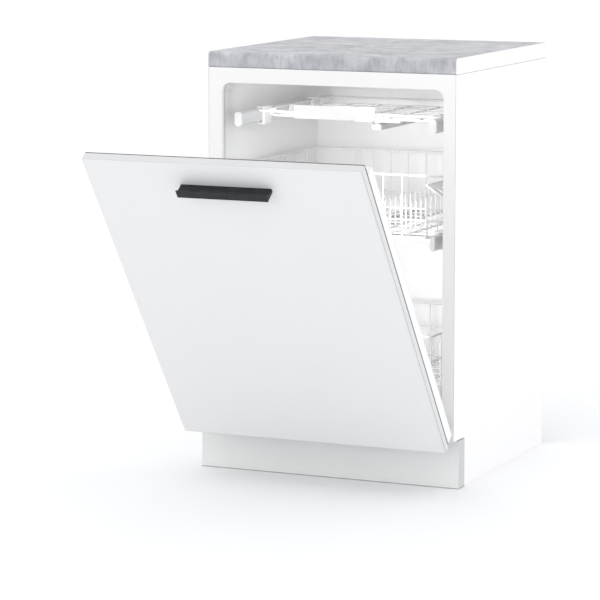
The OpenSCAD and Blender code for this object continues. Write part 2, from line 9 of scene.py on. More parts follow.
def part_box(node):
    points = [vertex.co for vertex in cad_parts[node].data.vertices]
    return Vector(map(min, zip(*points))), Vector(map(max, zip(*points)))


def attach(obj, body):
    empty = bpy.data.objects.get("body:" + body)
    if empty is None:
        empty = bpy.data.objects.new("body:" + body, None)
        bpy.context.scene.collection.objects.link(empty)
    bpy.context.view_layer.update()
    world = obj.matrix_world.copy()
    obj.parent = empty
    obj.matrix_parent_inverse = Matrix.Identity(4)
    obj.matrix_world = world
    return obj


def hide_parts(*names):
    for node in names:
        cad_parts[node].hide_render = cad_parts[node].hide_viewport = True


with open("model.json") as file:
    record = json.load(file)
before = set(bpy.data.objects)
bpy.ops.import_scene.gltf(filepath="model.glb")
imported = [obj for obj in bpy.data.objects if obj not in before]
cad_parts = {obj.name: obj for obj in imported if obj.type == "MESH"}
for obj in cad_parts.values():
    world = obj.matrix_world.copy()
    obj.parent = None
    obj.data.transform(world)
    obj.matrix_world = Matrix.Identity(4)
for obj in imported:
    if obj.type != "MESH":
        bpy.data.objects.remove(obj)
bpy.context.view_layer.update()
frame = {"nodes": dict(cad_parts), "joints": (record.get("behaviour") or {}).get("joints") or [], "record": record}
nodes, record = frame["nodes"], frame["record"]
joints = {j["name"]: j for j in frame["joints"]}
slot_of_node = {p["node"]: p["material_slot"] for p in record["subparts"]}
MM = 0.001

hinge = Vector(joints["door_hinge"]["pos_m"])
shut_angle = math.radians(joints["door_hinge"]["range_deg"][0])
# carries a point of the shut door to where the door stands at rest
open_door = (
    Matrix.Translation(hinge)
    @ Matrix.Rotation(-shut_angle, 4, "X")
    @ Matrix.Translation(-hinge)
)
shut_door = open_door.inverted()


def span(node):
    """A node's lowest and highest corners at rest, in mm."""
    lo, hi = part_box(node)
    return Vector(lo) / MM, Vector(hi) / MM


def shut_span(node):
    """A door node's corners in mm with the door turned shut, where its sides lie along the axes."""
    pts = [shut_door @ v.co for v in nodes[node].data.vertices]
    lo = Vector([min(p[i] for p in pts) for i in range(3)])
    hi = Vector([max(p[i] for p in pts) for i in range(3)])
    return lo / MM, hi / MM


def spread(a, b, n):
    """n values evenly spaced from a to b."""
    return [a + (b - a) * i / (n - 1) for i in range(n)]


# ---------------------------------------------------------------- materials
def add(tree, kind, **values):
    """A new shader node with its settings and input values filled in."""
    n = tree.nodes.new(kind)
    for k, v in values.items():
        if hasattr(n, k):
            setattr(n, k, v)
        else:
            n.inputs[k.replace("_", " ")].default_value = v
    return n


def shader(name):
    """A new material, its node tree and its surface shader."""
    m = bpy.data.materials.new(name)
    m.use_nodes = True
    return m, m.node_tree, m.node_tree.nodes["Principled BSDF"]


def noise(tree, scale, detail=3.0, stretch=(1, 1, 1)):
    """Noise in the object's own space; a stretch under 1 draws it out along that axis."""
    place = add(tree, "ShaderNodeMapping")
    place.inputs["Scale"].default_value = stretch
    tree.links.new(add(tree, "ShaderNodeTexCoord").outputs["Object"], place.inputs["Vector"])
    n = add(tree, "ShaderNodeTexNoise", Scale=scale, Detail=detail)
    tree.links.new(place.outputs["Vector"], n.inputs["Vector"])
    return n.outputs["Fac"]


def ramp(tree, value, low, high, a=0.35, b=0.65):
    """Turns a value into a colour or a grey that goes from low at a to high at b."""
    r = add(tree, "ShaderNodeValToRGB")
    for e, at, c in zip(r.color_ramp.elements, (a, b), (low, high)):
        e.position = at
        e.color = (*c, 1) if isinstance(c, tuple) else (c, c, c, 1)
    tree.links.new(value, r.inputs["Fac"])
    return r.outputs["Color"]


def times(tree, a, b, share):
    """Two colours multiplied, the second with a given share."""
    mix = add(tree, "ShaderNodeMix", data_type="RGBA", blend_type="MULTIPLY")
    mix.inputs["Factor"].default_value = share
    tree.links.new(a, mix.inputs["A"])
    tree.links.new(b, mix.inputs["B"])
    return mix.outputs["Result"]


def bumped(tree, bsdf, value, strength, distance):
    """Lets a value raise the surface in shading."""
    b = add(tree, "ShaderNodeBump", Strength=strength, Distance=distance)
    tree.links.new(value, b.inputs["Height"])
    tree.links.new(b.outputs["Normal"], bsdf.inputs["Normal"])


def finish(name, color, rough, mottle=0.02, blotch=6.0, grain=300.0, bump=0.1, depth=0.0001,
           metallic=0.0, coat=0.0, stretch=(1, 1, 1), gloss_spread=0.12):
    """Paint, plastic, rubber or metal: a slight mottle in colour and gloss, over a fine grain."""
    m, tree, bsdf = shader(name)
    bsdf.inputs["Metallic"].default_value = metallic
    bsdf.inputs["Coat Weight"].default_value = coat
    dark = tuple(c * (1 - mottle) for c in color)
    light = tuple(min(1.0, c * (1 + mottle)) for c in color)
    tree.links.new(ramp(tree, noise(tree, blotch, 3.0, stretch), dark, light), bsdf.inputs["Base Color"])
    gloss = ramp(tree, noise(tree, grain * 0.3, 2.0, stretch),
                 rough * (1 - gloss_spread), rough * (1 + gloss_spread))
    tree.links.new(gloss, bsdf.inputs["Roughness"])
    bumped(tree, bsdf, noise(tree, grain, 2.0, stretch), bump, depth)
    return m


def brushed(name, color, rough, along, metallic=1.0, mottle=0.05):
    """Metal rolled or brushed along one axis: the grain is drawn out that way."""
    stretch = tuple(0.03 if i == along else 1.0 for i in range(3))
    return finish(name, color, rough, mottle, 60.0, 500.0, 0.2, 0.00004, metallic, 0.0, stretch)


def concrete(name):
    """Printed concrete laminate: wide clouds, blotches and dark pores over a pale grey."""
    m, tree, bsdf = shader(name)
    cloud = noise(tree, 24.0, 8.0, (1, 1.6, 1))
    color = ramp(tree, cloud, (0.43, 0.435, 0.47), (0.62, 0.625, 0.66), 0.36, 0.66)
    color = times(tree, color, ramp(tree, noise(tree, 7.0, 4.0), 0.86, 1.0, 0.36, 0.6), 1.0)
    color = times(tree, color, ramp(tree, noise(tree, 150.0, 6.0, (1, 1, 0.25)), 0.84, 1.0, 0.36, 0.56), 0.9)
    color = times(tree, color, ramp(tree, noise(tree, 330.0, 2.0), 0.8, 1.0, 0.3, 0.42), 0.7)
    tree.links.new(color, bsdf.inputs["Base Color"])
    tree.links.new(ramp(tree, noise(tree, 60.0), 0.42, 0.6), bsdf.inputs["Roughness"])
    bumped(tree, bsdf, noise(tree, 260.0, 5.0), 0.22, 0.0002)
    return m


def chipboard(name):
    """Raw chipboard: long pale and brown flakes pressed together."""
    m, tree, bsdf = shader(name)
    flakes = add(tree, "ShaderNodeTexVoronoi", Scale=420.0)
    place = add(tree, "ShaderNodeMapping")
    place.inputs["Scale"].default_value = (0.35, 1, 1)
    tree.links.new(add(tree, "ShaderNodeTexCoord").outputs["Object"], place.inputs["Vector"])
    tree.links.new(place.outputs["Vector"], flakes.inputs["Vector"])
    tone = add(tree, "ShaderNodeSeparateColor")
    tree.links.new(flakes.outputs["Color"], tone.inputs["Color"])
    color = ramp(tree, tone.outputs["Red"], (0.30, 0.19, 0.10), (0.68, 0.52, 0.34), 0.1, 0.9)
    tree.links.new(color, bsdf.inputs["Base Color"])
    bsdf.inputs["Roughness"].default_value = 0.85
    bumped(tree, bsdf, flakes.outputs["Distance"], 0.4, 0.0004)
    return m


def fine_mesh(name):
    """Thin steel sheet pierced with rows of small round holes, each painted near black as the shade seen through
    it.
    """
    m, tree, bsdf = shader(name)
    bsdf.inputs["Metallic"].default_value = 0.7
    cells = add(tree, "ShaderNodeTexVoronoi", Scale=620.0, Randomness=0.0)
    tree.links.new(add(tree, "ShaderNodeTexCoord").outputs["Object"], cells.inputs["Vector"])
    hole = ramp(tree, cells.outputs["Distance"], 0.03, 1.0, 0.24, 0.32)
    sheen = ramp(tree, noise(tree, 40.0), (0.60, 0.61, 0.62), (0.72, 0.73, 0.74))
    # the hole mask darkens the colour in each dot: painted shade; the same mask also raises the bump below
    tree.links.new(times(tree, sheen, hole, 1.0), bsdf.inputs["Base Color"])
    tree.links.new(ramp(tree, noise(tree, 90.0), 0.3, 0.42), bsdf.inputs["Roughness"])
    bumped(tree, bsdf, hole, 0.5, 0.0003)
    return m


looks = {
    "filter_mesh": fine_mesh("filter_mesh"),
    "worktop_laminate": concrete("worktop_laminate"),
    "worktop_core": chipboard("worktop_core"),
    # near black, for strips set in joints: painted shade
    "painted_joint_shade": finish("painted_joint_shade", (0.12, 0.12, 0.125), 0.7, 0.05, 30.0, 400.0, 0.1),
    "edge_band": finish("edge_band", (0.88, 0.88, 0.88), 0.35, 0.01),
    "white_enamel": finish("white_enamel", (0.9, 0.9, 0.905), 0.3, 0.004, 3.0, 90.0, 0.02, gloss_spread=0.04),
    "zinc_sheet": finish("zinc_sheet", (0.62, 0.63, 0.64), 0.4, 0.035, 90.0, 120.0, 0.12, metallic=0.85),
    "tub_steel": brushed("tub_steel", (0.87, 0.87, 0.872), 0.45, 2, 0.2, 0.008),
    "liner_steel": brushed("liner_steel", (0.82, 0.823, 0.826), 0.4, 2, 0.4, 0.015),
    "arm_steel": brushed("arm_steel", (0.5, 0.505, 0.51), 0.32, 0, 0.75),
    "seal_rubber": finish("seal_rubber", (0.6, 0.605, 0.61), 0.7, 0.05, 30.0, 500.0, 0.2),
    "base_plastic": finish("base_plastic", (0.12, 0.125, 0.13), 0.55, 0.06, 30.0, 700.0, 0.25),
    "foot_plastic": finish("foot_plastic", (0.035, 0.035, 0.038), 0.5, 0.08, 30.0, 700.0, 0.25),
    "plinth_laminate": finish("plinth_laminate", (0.79, 0.81, 0.80), 0.4, 0.012, 5.0, 420.0, 0.08),
    "plinth_edge_painted_shade": finish("plinth_edge_painted_shade", (0.57, 0.575, 0.59), 0.45, 0.01, 9.0, 300.0, 0.05),
    "wash_plastic": finish("wash_plastic", (0.66, 0.67, 0.68), 0.4, 0.02, 12.0, 600.0, 0.15),
    "pump_body": finish("pump_body", (0.05, 0.05, 0.055), 0.5, 0.1, 40.0, 600.0, 0.3),
    "heater_steel": brushed("heater_steel", (0.6, 0.6, 0.6), 0.3, 0),
    "white_plastic": finish("white_plastic", (0.9, 0.9, 0.9), 0.3, 0.008, 10.0, 600.0, 0.08),
    "tray_white_lit": finish("tray_white_lit", (0.97, 0.97, 0.97), 0.3, 0.004, 10.0, 600.0, 0.05),
    "hinge_steel": finish("hinge_steel", (0.62, 0.63, 0.65), 0.32, 0.06, 80.0, 240.0, 0.1, metallic=1.0),
    "front_lacquer": finish("front_lacquer", (0.785, 0.79, 0.80), 0.4, 0.004, 3.0, 90.0, 0.02,
                            gloss_spread=0.04),
    "front_edge_shaded": finish("front_edge_shaded", (0.69, 0.695, 0.705), 0.45, 0.01, 9.0, 90.0, 0.04),
    "handle_black": finish("handle_black", (0.021, 0.023, 0.024), 0.44, 0.15, 60.0, 900.0, 0.25,
                           metallic=0.5),
    "fixing_plastic": finish("fixing_plastic", (0.2, 0.2, 0.21), 0.5, 0.05, 30.0, 700.0, 0.2),
    "control_face": finish("control_face", (0.03, 0.03, 0.035), 0.16, 0.05, 30.0, 700.0, 0.04, coat=0.4),
    "button_plastic": finish("button_plastic", (0.55, 0.56, 0.57), 0.28, 0.03, 30.0, 700.0, 0.1),
    "board_green": finish("board_green", (0.02, 0.12, 0.05), 0.35, 0.2, 120.0, 300.0, 0.2),
    "rail_steel": brushed("rail_steel", (0.74, 0.745, 0.75), 0.32, 1, 0.5, 0.02),
    "rack_coating": finish("rack_coating", (0.8, 0.8, 0.8), 0.3, 0.015, 20.0, 500.0, 0.08),
    "wheel_plastic": finish("wheel_plastic", (0.3, 0.31, 0.32), 0.5, 0.05, 30.0, 700.0, 0.2),
}


def paint(obj, look):
    """Gives an object one of the looks in place of whatever it had."""
    obj.data.materials.clear()
    obj.data.materials.append(looks[look])


def even_normals(obj):
    """Lets the large flat faces decide the shading next to a rounded edge."""
    obj.modifiers.new("even", "WEIGHTED_NORMAL").keep_sharp = True


def round_edges(obj, width, segments=3, weld=False):
    """Rounds the sharp edges of a piece; its flat faces stay flat in shading."""
    if weld:
        obj.modifiers.new("weld", "WELD").merge_threshold = 0.00001
    bevel = obj.modifiers.new("edges", "BEVEL")
    bevel.width, bevel.segments = width * MM, segments
    bevel.limit_method, bevel.angle_limit = "ANGLE", math.radians(38)
    bevel.use_clamp_overlap = True
    even_normals(obj)


for name, obj in nodes.items():
    paint(obj, slot_of_node[name])
    obj.data.shade_smooth()
    obj.data.set_sharp_from_angle(angle=math.radians(32))

paint(nodes["filter_plate"], "filter_mesh")
# the tray's front plate gets a lighter copy of the white plastic: painted light
paint(nodes["tray_front"], "tray_white_lit")
paint(nodes["inner_liner"], "liner_steel")

edge_width = {
    0.4: "hinge_brackets hinge_arms hinge_pins latch_bolt plinth_clips control_board",
    1.1: "left_panel right_panel worktop_bands",
    0.7: "plinth_board control_strip power_button program_button start_button "
         "latch_case rinse_cap dispenser_lid cup_shelf_l cup_shelf_r salt_cap handle_screws rail_caps",
    1.0: "front_frame door_shell inner_liner dispenser tray_front door_fixings drain_outlet mains_inlet "
         "sump spray_hub riser_tube upper_feed base_tray door_seal tray_rails upper_rails filter_cup "
         "filter_plate",
    2.0: "softener inlet_valve circulation_pump drain_pump heater upper_arm lower_arm top_arm",
}
for width, names in edge_width.items():
    for name in names.split():
        round_edges(nodes[name], width, weld=True)


# ---------------------------------------------------------------- piece helpers
def add_block(bm, lo, hi):
    """A box between two corners given in mm, in either order."""
    lo, hi = [min(p) for p in zip(lo, hi)], [max(p) for p in zip(lo, hi)]
    made = bmesh.ops.create_cube(bm, size=1)["verts"]
    for v in made:
        v.co = Vector((lo[i] if v.co[i] < 0 else hi[i]) for i in range(3))


def add_prism(bm, outline, start, end, along="x"):
    """A shape drawn across one axis and standing between two values along it, in mm."""
    at = {"x": lambda t, u, v: (t, u, v), "y": lambda t, u, v: (u, t, v), "z": lambda t, u, v: (u, v, t)}
    ends = [[bm.verts.new(at[along](t, u, v)) for u, v in outline] for t in (start, end)]
    n = len(outline)
    bm.faces.new(ends[0])
    bm.faces.new(list(reversed(ends[1])))
    for i in range(n):
        bm.faces.new((ends[0][i], ends[1][i], ends[1][(i + 1) % n], ends[0][(i + 1) % n]))


def add_turned(bm, profile, at, axis, sides=32, ring_shaped=False):
    """A round part: (radius, height) pairs turned about an axis at a point, in mm."""
    turn = Vector((0, 0, 1)).rotation_difference(Vector(axis)).to_matrix()
    rings = []
    for r, h in profile:
        ring = [Vector((r * math.cos(a), r * math.sin(a), h))
                for a in (2 * math.pi * k / sides for k in range(sides))]
        rings.append([bm.verts.new(Vector(at) + turn @ p) for p in ring])
    for low, high in zip(rings, rings[1:] + rings[:1] if ring_shaped else rings[1:]):
        for k in range(sides):
            bm.faces.new((low[k], low[(k + 1) % sides], high[(k + 1) % sides], high[k]))
    if not ring_shaped:
        bm.faces.new(list(reversed(rings[0])))
        bm.faces.new(rings[-1])


def settle(obj, body, slot, stands_for=(), look=None):
    """Paints a piece and says which body it rides on and which nodes it stands for."""
    paint(obj, look or slot)
    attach(obj, body)
    if stands_for:
        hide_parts(*stands_for)
    return obj


def solid(name, bm, body, slot, stands_for=(), bevel=0.0, shut=False, look=None, segments=3):
    """Turns a mesh drawn in mm into a piece; shut says that it was drawn on the shut door."""
    bmesh.ops.recalc_face_normals(bm, faces=bm.faces)
    mesh = bpy.data.meshes.new(name)
    bm.to_mesh(mesh)
    bm.free()
    mesh.transform((open_door if shut else Matrix.Identity(4)) @ Matrix.Scale(MM, 4))
    mesh.shade_smooth()
    mesh.set_sharp_from_angle(angle=math.radians(38))
    obj = bpy.data.objects.new(name, mesh)
    bpy.context.scene.collection.objects.link(obj)
    if bevel:
        round_edges(obj, bevel, segments)
    return settle(obj, body, slot, stands_for, look)


def eased(points, reach, closed=False, steps=5):
    """A path whose corners are rounded off over a given reach."""
    pts = [Vector(p) for p in points]
    out = []
    for i, p in enumerate(pts):
        if not closed and i in (0, len(pts) - 1):
            out.append(p)
            continue
        a, b = pts[i - 1] - p, pts[(i + 1) % len(pts)] - p
        cut = min(reach, a.length / 2, b.length / 2)
        start, end = p + a.normalized() * cut, p + b.normalized() * cut
        for k in range(steps + 1):
            t = k / steps
            out.append(start * (1 - t) ** 2 + p * 2 * t * (1 - t) + end * t * t)
    return out


def tipped(base, tip, r):
    """A straight wire with a rounded tip, as points with their radii."""
    base, tip = Vector(base), Vector(tip)
    back = (base - tip).normalized()
    ends = [(tip + back * r * h, r * math.sqrt(max(0.004, 1 - (1 - h) ** 2))) for h in (1, 0.6, 0.3, 0.1, 0)]
    return [(base, r)] + ends


def wires(name, paths, body, slot, stands_for=()):
    """Round wires: each path is (points, radius, closed) or a list of (point, radius), in mm."""
    curve = bpy.data.curves.new(name, "CURVE")
    curve.dimensions = "3D"
    curve.bevel_depth, curve.bevel_resolution, curve.use_fill_caps = MM, 3, True
    for path in paths:
        closed = False
        if isinstance(path, tuple):
            points, r, closed = path
            path = [(p, r) for p in points]
        line = curve.splines.new("POLY")
        line.points.add(len(path) - 1)
        for spot, (p, r) in zip(line.points, path):
            spot.co = (*(Vector(p) * MM), 1)
            spot.radius = r
        line.use_cyclic_u = closed
        line.use_smooth = True
    obj = bpy.data.objects.new(name, curve)
    bpy.context.scene.collection.objects.link(obj)
    settle(obj, body, slot, stands_for)


# ---------------------------------------------------------------- worktop
def worktop():
    """Laminate wrapped round a chipboard core that shows at the back, and a dark strip in the joint below that
    paints the shade there.
    """
    lo, hi = span("worktop")
    top_round, low_round, skin = 8.0, 4.0, 0.8
    outline = []
    for r, z, start in ((top_round, hi.z - top_round, 90), (low_round, lo.z + low_round, 180)):
        for a in spread(math.radians(start), math.radians(start + 90), 13):
            outline.append((lo.y + r + r * math.cos(a), z + r * math.sin(a)))
    recess = hi.y - 0.5
    outline += [(hi.y, lo.z), (hi.y, lo.z + skin), (recess, lo.z + skin),
                (recess, hi.z - skin), (hi.y, hi.z - skin), (hi.y, hi.z)]
    bm = bmesh.new()
    add_prism(bm, outline, lo.x, hi.x)
    even_normals(solid("worktop_wrap", bm, "cabinet", "worktop_laminate", ("worktop",)))
    bm = bmesh.new()
    add_block(bm, (lo.x, recess, lo.z + skin), (hi.x, hi.y - 0.15, hi.z - skin))
    solid("worktop_core", bm, "cabinet", "worktop_laminate", ("worktop",), look="worktop_core")
    # a dark strip in the joint under each end of the worktop paints the shade in that joint
    left, right = span("left_panel")[0].x, span("right_panel")[1].x
    inset, wide, half_tall = 0.15, 1.8, 1.1
    bm = bmesh.new()
    for x0, x1 in ((left + inset, left + wide), (right - wide, right - inset)):
        add_block(bm, (x0, lo.y + 4, lo.z - half_tall), (x1, hi.y - 1, lo.z + half_tall))
    solid("worktop_joint_shade", bm, "cabinet", "worktop_laminate", look="painted_joint_shade")


def back_sheet():
    """A pressed zinc sheet with hems, raised fields, a row of louvres and its screws."""
    lo, hi = span("back_panel")
    y0, y1, y2 = lo.y + 0.2, lo.y + 1.0, hi.y
    mid = (lo.x + hi.x) / 2
    slot_x0, slot_x1 = mid - 60, mid + 60
    slots, slot_h = spread(180, 300, 7), 5
    edges = [slots[0] - 12] + [z + d for z in slots for d in (0, slot_h)] + [slots[-1] + 17]
    bm = bmesh.new()
    add_block(bm, (lo.x, y0, lo.z), (hi.x, y1, edges[0]))
    add_block(bm, (lo.x, y0, edges[-1]), (hi.x, y1, hi.z))
    for x0, x1 in ((lo.x, slot_x0), (slot_x1, hi.x)):
        add_block(bm, (x0, y0, edges[0]), (x1, y1, edges[-1]))
    for z0, z1 in zip(edges[::2], edges[1::2]):
        add_block(bm, (slot_x0, y0, z0), (slot_x1, y1, z1))
    solid("back_sheet", bm, "cabinet", "zinc_sheet", ("back_panel",))
    bm = bmesh.new()
    hem, root, gap_low, gap_high = 16, y1 - 0.3, 350, 400
    for x in (lo.x, hi.x - hem):
        add_block(bm, (x, root, lo.z), (x + hem, y2 - 0.2, hi.z))
    for x0, x1 in ((lo.x + 45, mid - 75), (mid + 75, hi.x - 45)):
        for z0, z1 in ((lo.z + 40, gap_low), (gap_high, hi.z - 50)):
            add_block(bm, (x0, root, z0), (x1, y2 - 0.1, z1))
    add_block(bm, (mid - 45, root, gap_high), (mid + 45, y2 - 0.1, hi.z - 50))
    solid("back_swages", bm, "cabinet", "zinc_sheet", ("back_panel",), 0.7, segments=4)
    bm = bmesh.new()
    for z in slots:
        add_prism(bm, [(y1 - 0.2, z + 4.4), (y2, z + 1.4), (y2, z + 4.6), (y1 - 0.2, z + 9)],
                  slot_x0 + 0.5, slot_x1 - 0.5)
    solid("back_louvres", bm, "cabinet", "zinc_sheet", ("back_panel",), 0.2)
    heights = spread(lo.z + 22, hi.z - 22, 5)
    spots = [(x, y1, z) for x in (lo.x + 28, hi.x - 28) for z in heights]
    spots += [(mid, y1, z) for z in (heights[0], heights[-1])]
    torx_screws("back_screws", spots, (0, 1, 0), "cabinet", 3.6, y2 - y1)


def plinth_trim():
    """A dark lip along the bottom of the plinth board that paints its contact shadow, and edging in a darker grey,
    painted shade, that reaches back to the side panels.
    """
    lo, hi = span("plinth_board")
    # how far back the toe space is cut in the side panels
    notch = min(v.co.y for v in nodes["right_panel"].data.vertices if v.co.z < lo.z * MM + 0.02) / MM
    proud, lip = 0.4, 1.6
    bm = bmesh.new()
    for x0, x1 in ((lo.x - proud, lo.x + 0.3), (hi.x - 0.3, hi.x + proud)):
        add_block(bm, (x0, lo.y + 0.8, lo.z), (x1, notch - 0.1, hi.z + 1.5))
    # the edging gets a darker copy of the plinth laminate: painted shade on the plinth's ends
    solid("plinth_edging", bm, "cabinet", "plinth_laminate", (), 0.1, look="plinth_edge_painted_shade")
    # a dark grey strip along the bottom of the plinth and at its ends: painted contact shadow
    bm = bmesh.new()
    add_block(bm, (lo.x + 0.3, lo.y - 0.35, lo.z), (hi.x - 0.3, lo.y + 0.5, lo.z + lip))
    for end in (lo.x - 0.75, hi.x + 0.3):
        add_block(bm, (end, lo.y + 1, lo.z), (end + 0.45, notch - 0.3, lo.z + lip))
    solid("plinth_shadow_lip", bm, "cabinet", "plinth_laminate", (), 0.15, look="wheel_plastic")


def feet():
    """Four levelling feet: a round pad, a threaded stem and a hexagon to turn it by."""
    lo, hi = span("levelling_feet")
    pad, stem, pad_h, up = 18.0, 5.0, 6, (0, 0, 1)
    turns = range(int(hi.z - lo.z - pad_h) + 1)
    thread = [(stem - 0.7 * (k % 2), pad_h + k) for k in turns]
    foot = [(pad - 2, 0), (pad, 1.4), (pad, 3.6), (pad - 2.5, 5.2), (9, pad_h)]
    bm = bmesh.new()
    for x in (lo.x + pad, hi.x - pad):
        for y in (lo.y + pad, hi.y - pad):
            add_turned(bm, foot, (x, y, lo.z), up, 40)
            add_turned(bm, [(stem - 0.7, pad_h - 0.5)] + thread, (x, y, lo.z), up, 24)
            add_turned(bm, [(8.2, 8), (9, 8.6), (9, 11.4), (8.2, 12)], (x, y, lo.z), up, 6)
    solid("threaded_feet", bm, "cabinet", "foot_plastic", ("levelling_feet",))


# ---------------------------------------------------------------- door
def door_front():
    """The furniture front: a lacquered board, its edge bands in a darker grey that paints the shade on its edges,
    and a dark line along each upright band that paints the shade there.
    """
    lo, hi = shut_span("front_panel")
    margin, band, inset, reveal = 0.8, 0.65, 0.06, 0.25
    bm = bmesh.new()
    add_block(bm, (lo.x + margin, lo.y, lo.z + margin), (hi.x - margin, hi.y, hi.z - margin))
    solid("front_board", bm, "door", "front_lacquer", ("front_panel",), 0.5, True)
    bm = bmesh.new()
    for x0, x1 in ((lo.x + inset, lo.x + band), (hi.x - band, hi.x - inset)):
        add_block(bm, (x0, lo.y + reveal, lo.z), (x1, hi.y - reveal, hi.z))
    for z0, z1 in ((lo.z, lo.z + band), (hi.z - band, hi.z)):
        add_block(bm, (lo.x + margin, lo.y + reveal, z0), (hi.x - margin, hi.y - reveal, z1))
    # the edge bands get a darker copy of the lacquer: painted shade on the board's edges
    solid("front_edge_bands", bm, "door", "front_lacquer", ("front_panel",), 0.3, True, look="front_edge_shaded")
    # a near black strip along each upright band: painted shade at the edge of the face
    bm = bmesh.new()
    for x0, x1 in ((lo.x, lo.x + 0.3), (hi.x - 0.3, hi.x)):
        add_block(bm, (x0, lo.y + 0.7, lo.z + 1), (x1, lo.y + 1.5, hi.z - 1))
    solid("front_shade_lines", bm, "door", "front_lacquer", ("front_panel",), 0.0, True, look="painted_joint_shade")


def door_trim():
    """A dark strip between the furniture front and the dishwasher's own door, folded round its edge, that paints
    the shade in the gap there.
    """
    hi, shell = shut_span("front_panel")[1], shut_span("door_shell")
    y0, y1, y2 = hi.y + 0.05, shell[0].y - 0.15, shell[0].y + 0.9
    wide, out, top, bottom = 9.0, hi.x - 0.2, hi.z - 0.4, shut_span("front_panel")[0].z + 6
    bm = bmesh.new()
    for s in (-1, 1):
        edge = s * (shell[1].x + 0.1)
        outline = [(s * out, y0), (s * out, y2), (edge, y2), (edge, y1), (s * (out - wide), y1),
                   (s * (out - wide), y0)]
        add_prism(bm, outline, bottom, top - wide, "z")
    add_block(bm, (-out, y0, top - wide + 0.1), (out, y1, top))
    # near black: painted shade in the gap between the front and the door
    solid("door_edge_trim", bm, "door", "seal_rubber", (), 0.3, True, look="foot_plastic")


def handle():
    """A pull whose section is flat, then swept up to a straight front, hollow below, with closed ends."""
    lo, hi = shut_span("handle")
    root, top, cap_w = hi.y, hi.z - 7, 2.5

    def place(points):
        return [(root - out, top + up) for out, up in points]

    flat, sweep, rise, front = 15, 10, 6.6, 27
    outer = [(0, 0), (flat, -0.3)]
    outer += [(flat + sweep * t, -0.3 + rise * t * t * (1.6 - 0.6 * t)) for t in spread(0.15, 1, 7)]
    outer += [(front, rise), (front, -11)]
    inner = [(24, -11), (24, 1.4), (20, -1.8), (16, -4.6), (11, -9), (0, -9.5)]
    cap = place([(1, -0.6), (flat, -0.9), (24, 4.6), (26.4, 6), (26.4, -10.6), (0.4, -9.2)])
    bm = bmesh.new()
    add_prism(bm, place(outer + inner), lo.x, hi.x)
    for x in (lo.x + 0.1, hi.x - 0.1 - cap_w):
        add_prism(bm, cap, x, x + cap_w)
    solid("handle_bar", bm, "door", "handle_black", ("handle",), 0.45, True)


def torx_screws(name, spots, axis, body, r=3.4, h=1.2, shut=False):
    """Low round heads, each with a small socket pressed into it."""
    head = [(r, 0), (r, h * 0.35), (r * 0.86, h * 0.8), (r * 0.6, h), (r * 0.42, h), (r * 0.36, h * 0.3)]
    bm = bmesh.new()
    for at in spots:
        add_turned(bm, head, at, axis, 24)
    solid(name, bm, body, "hinge_steel", shut=shut)


def door_details():
    """Screws and swages on the inner door, and the display on its top edge."""
    lo, hi = shut_span("inner_liner")
    flange = shut_span("door_shell")[1].y + 1.5
    spots = [(x, flange, z) for x in (lo.x + 14, hi.x - 14) for z in spread(lo.z + 90, hi.z - 30, 5)]
    torx_screws("door_screws", spots, (0, 1, 0), "door", 3.6, 1.1, True)
    # two pairs of long swages pressed in the liner, under and over the dispenser
    pan, half = hi.y, 12
    dispenser = shut_span("dispenser")
    mid = (dispenser[0].x + dispenser[1].x) / 2
    bm = bmesh.new()
    for z0, z1 in ((lo.z + 70, dispenser[0].z - 40), (dispenser[1].z + 40, hi.z - 70)):
        for x in (mid - 175, mid + 175):
            add_block(bm, (x - half, pan - 0.4, z0), (x + half, pan + 1.2, z1))
    solid("liner_swages", bm, "door", "tub_steel", (), 1.1, True, look="liner_steel", segments=4)
    # display window and lamps on the top edge of the door
    lo, hi = shut_span("control_strip")
    y = (lo.y + hi.y) / 2
    bm = bmesh.new()
    add_block(bm, (mid - 34, y - 8, hi.z - 0.3), (mid + 96, y + 8, hi.z + 0.4))
    solid("display_window", bm, "door", "control_face", (), 0.3, True)
    bm = bmesh.new()
    for x in spread(mid - 22, mid + 84, 5):
        add_turned(bm, [(1.4, 0.3), (1.4, 0.6), (0.9, 0.75)], (x, y + 4.5, hi.z), (0, 0, 1), 16)
    solid("display_lamps", bm, "door", "button_plastic", (), 0.0, True)


# ---------------------------------------------------------------- racks
def shoe(bm, mid, s, inner, rail_x, w, h, z, y):
    """A runner that holds a rail from inside, above and below."""
    length, thick, play = 40, 3, 0.4
    near, wall, lip = (mid + s * x for x in (inner, rail_x - w / 2 - play, rail_x + w / 4))
    half = h / 2 + thick + play
    upper = [(wall, z + half - thick), (lip, z + half - thick), (lip, z + half), (near, z + half)]
    lower = [(u, 2 * z - v) for u, v in reversed(upper)]
    add_prism(bm, upper + lower, y, y + length, "y")


rim, wire, hinge_wire = 2.4, 1.5, 2.0  # radii of the racks' wires


def loop(mid, half, y0, y1, z, reach=16):
    """A level ring of wire with rounded corners."""
    corners = [(mid + sx * half, y, z) for sx, y in ((-1, y0), (1, y0), (1, y1), (-1, y1))]
    return eased(corners, reach, True)


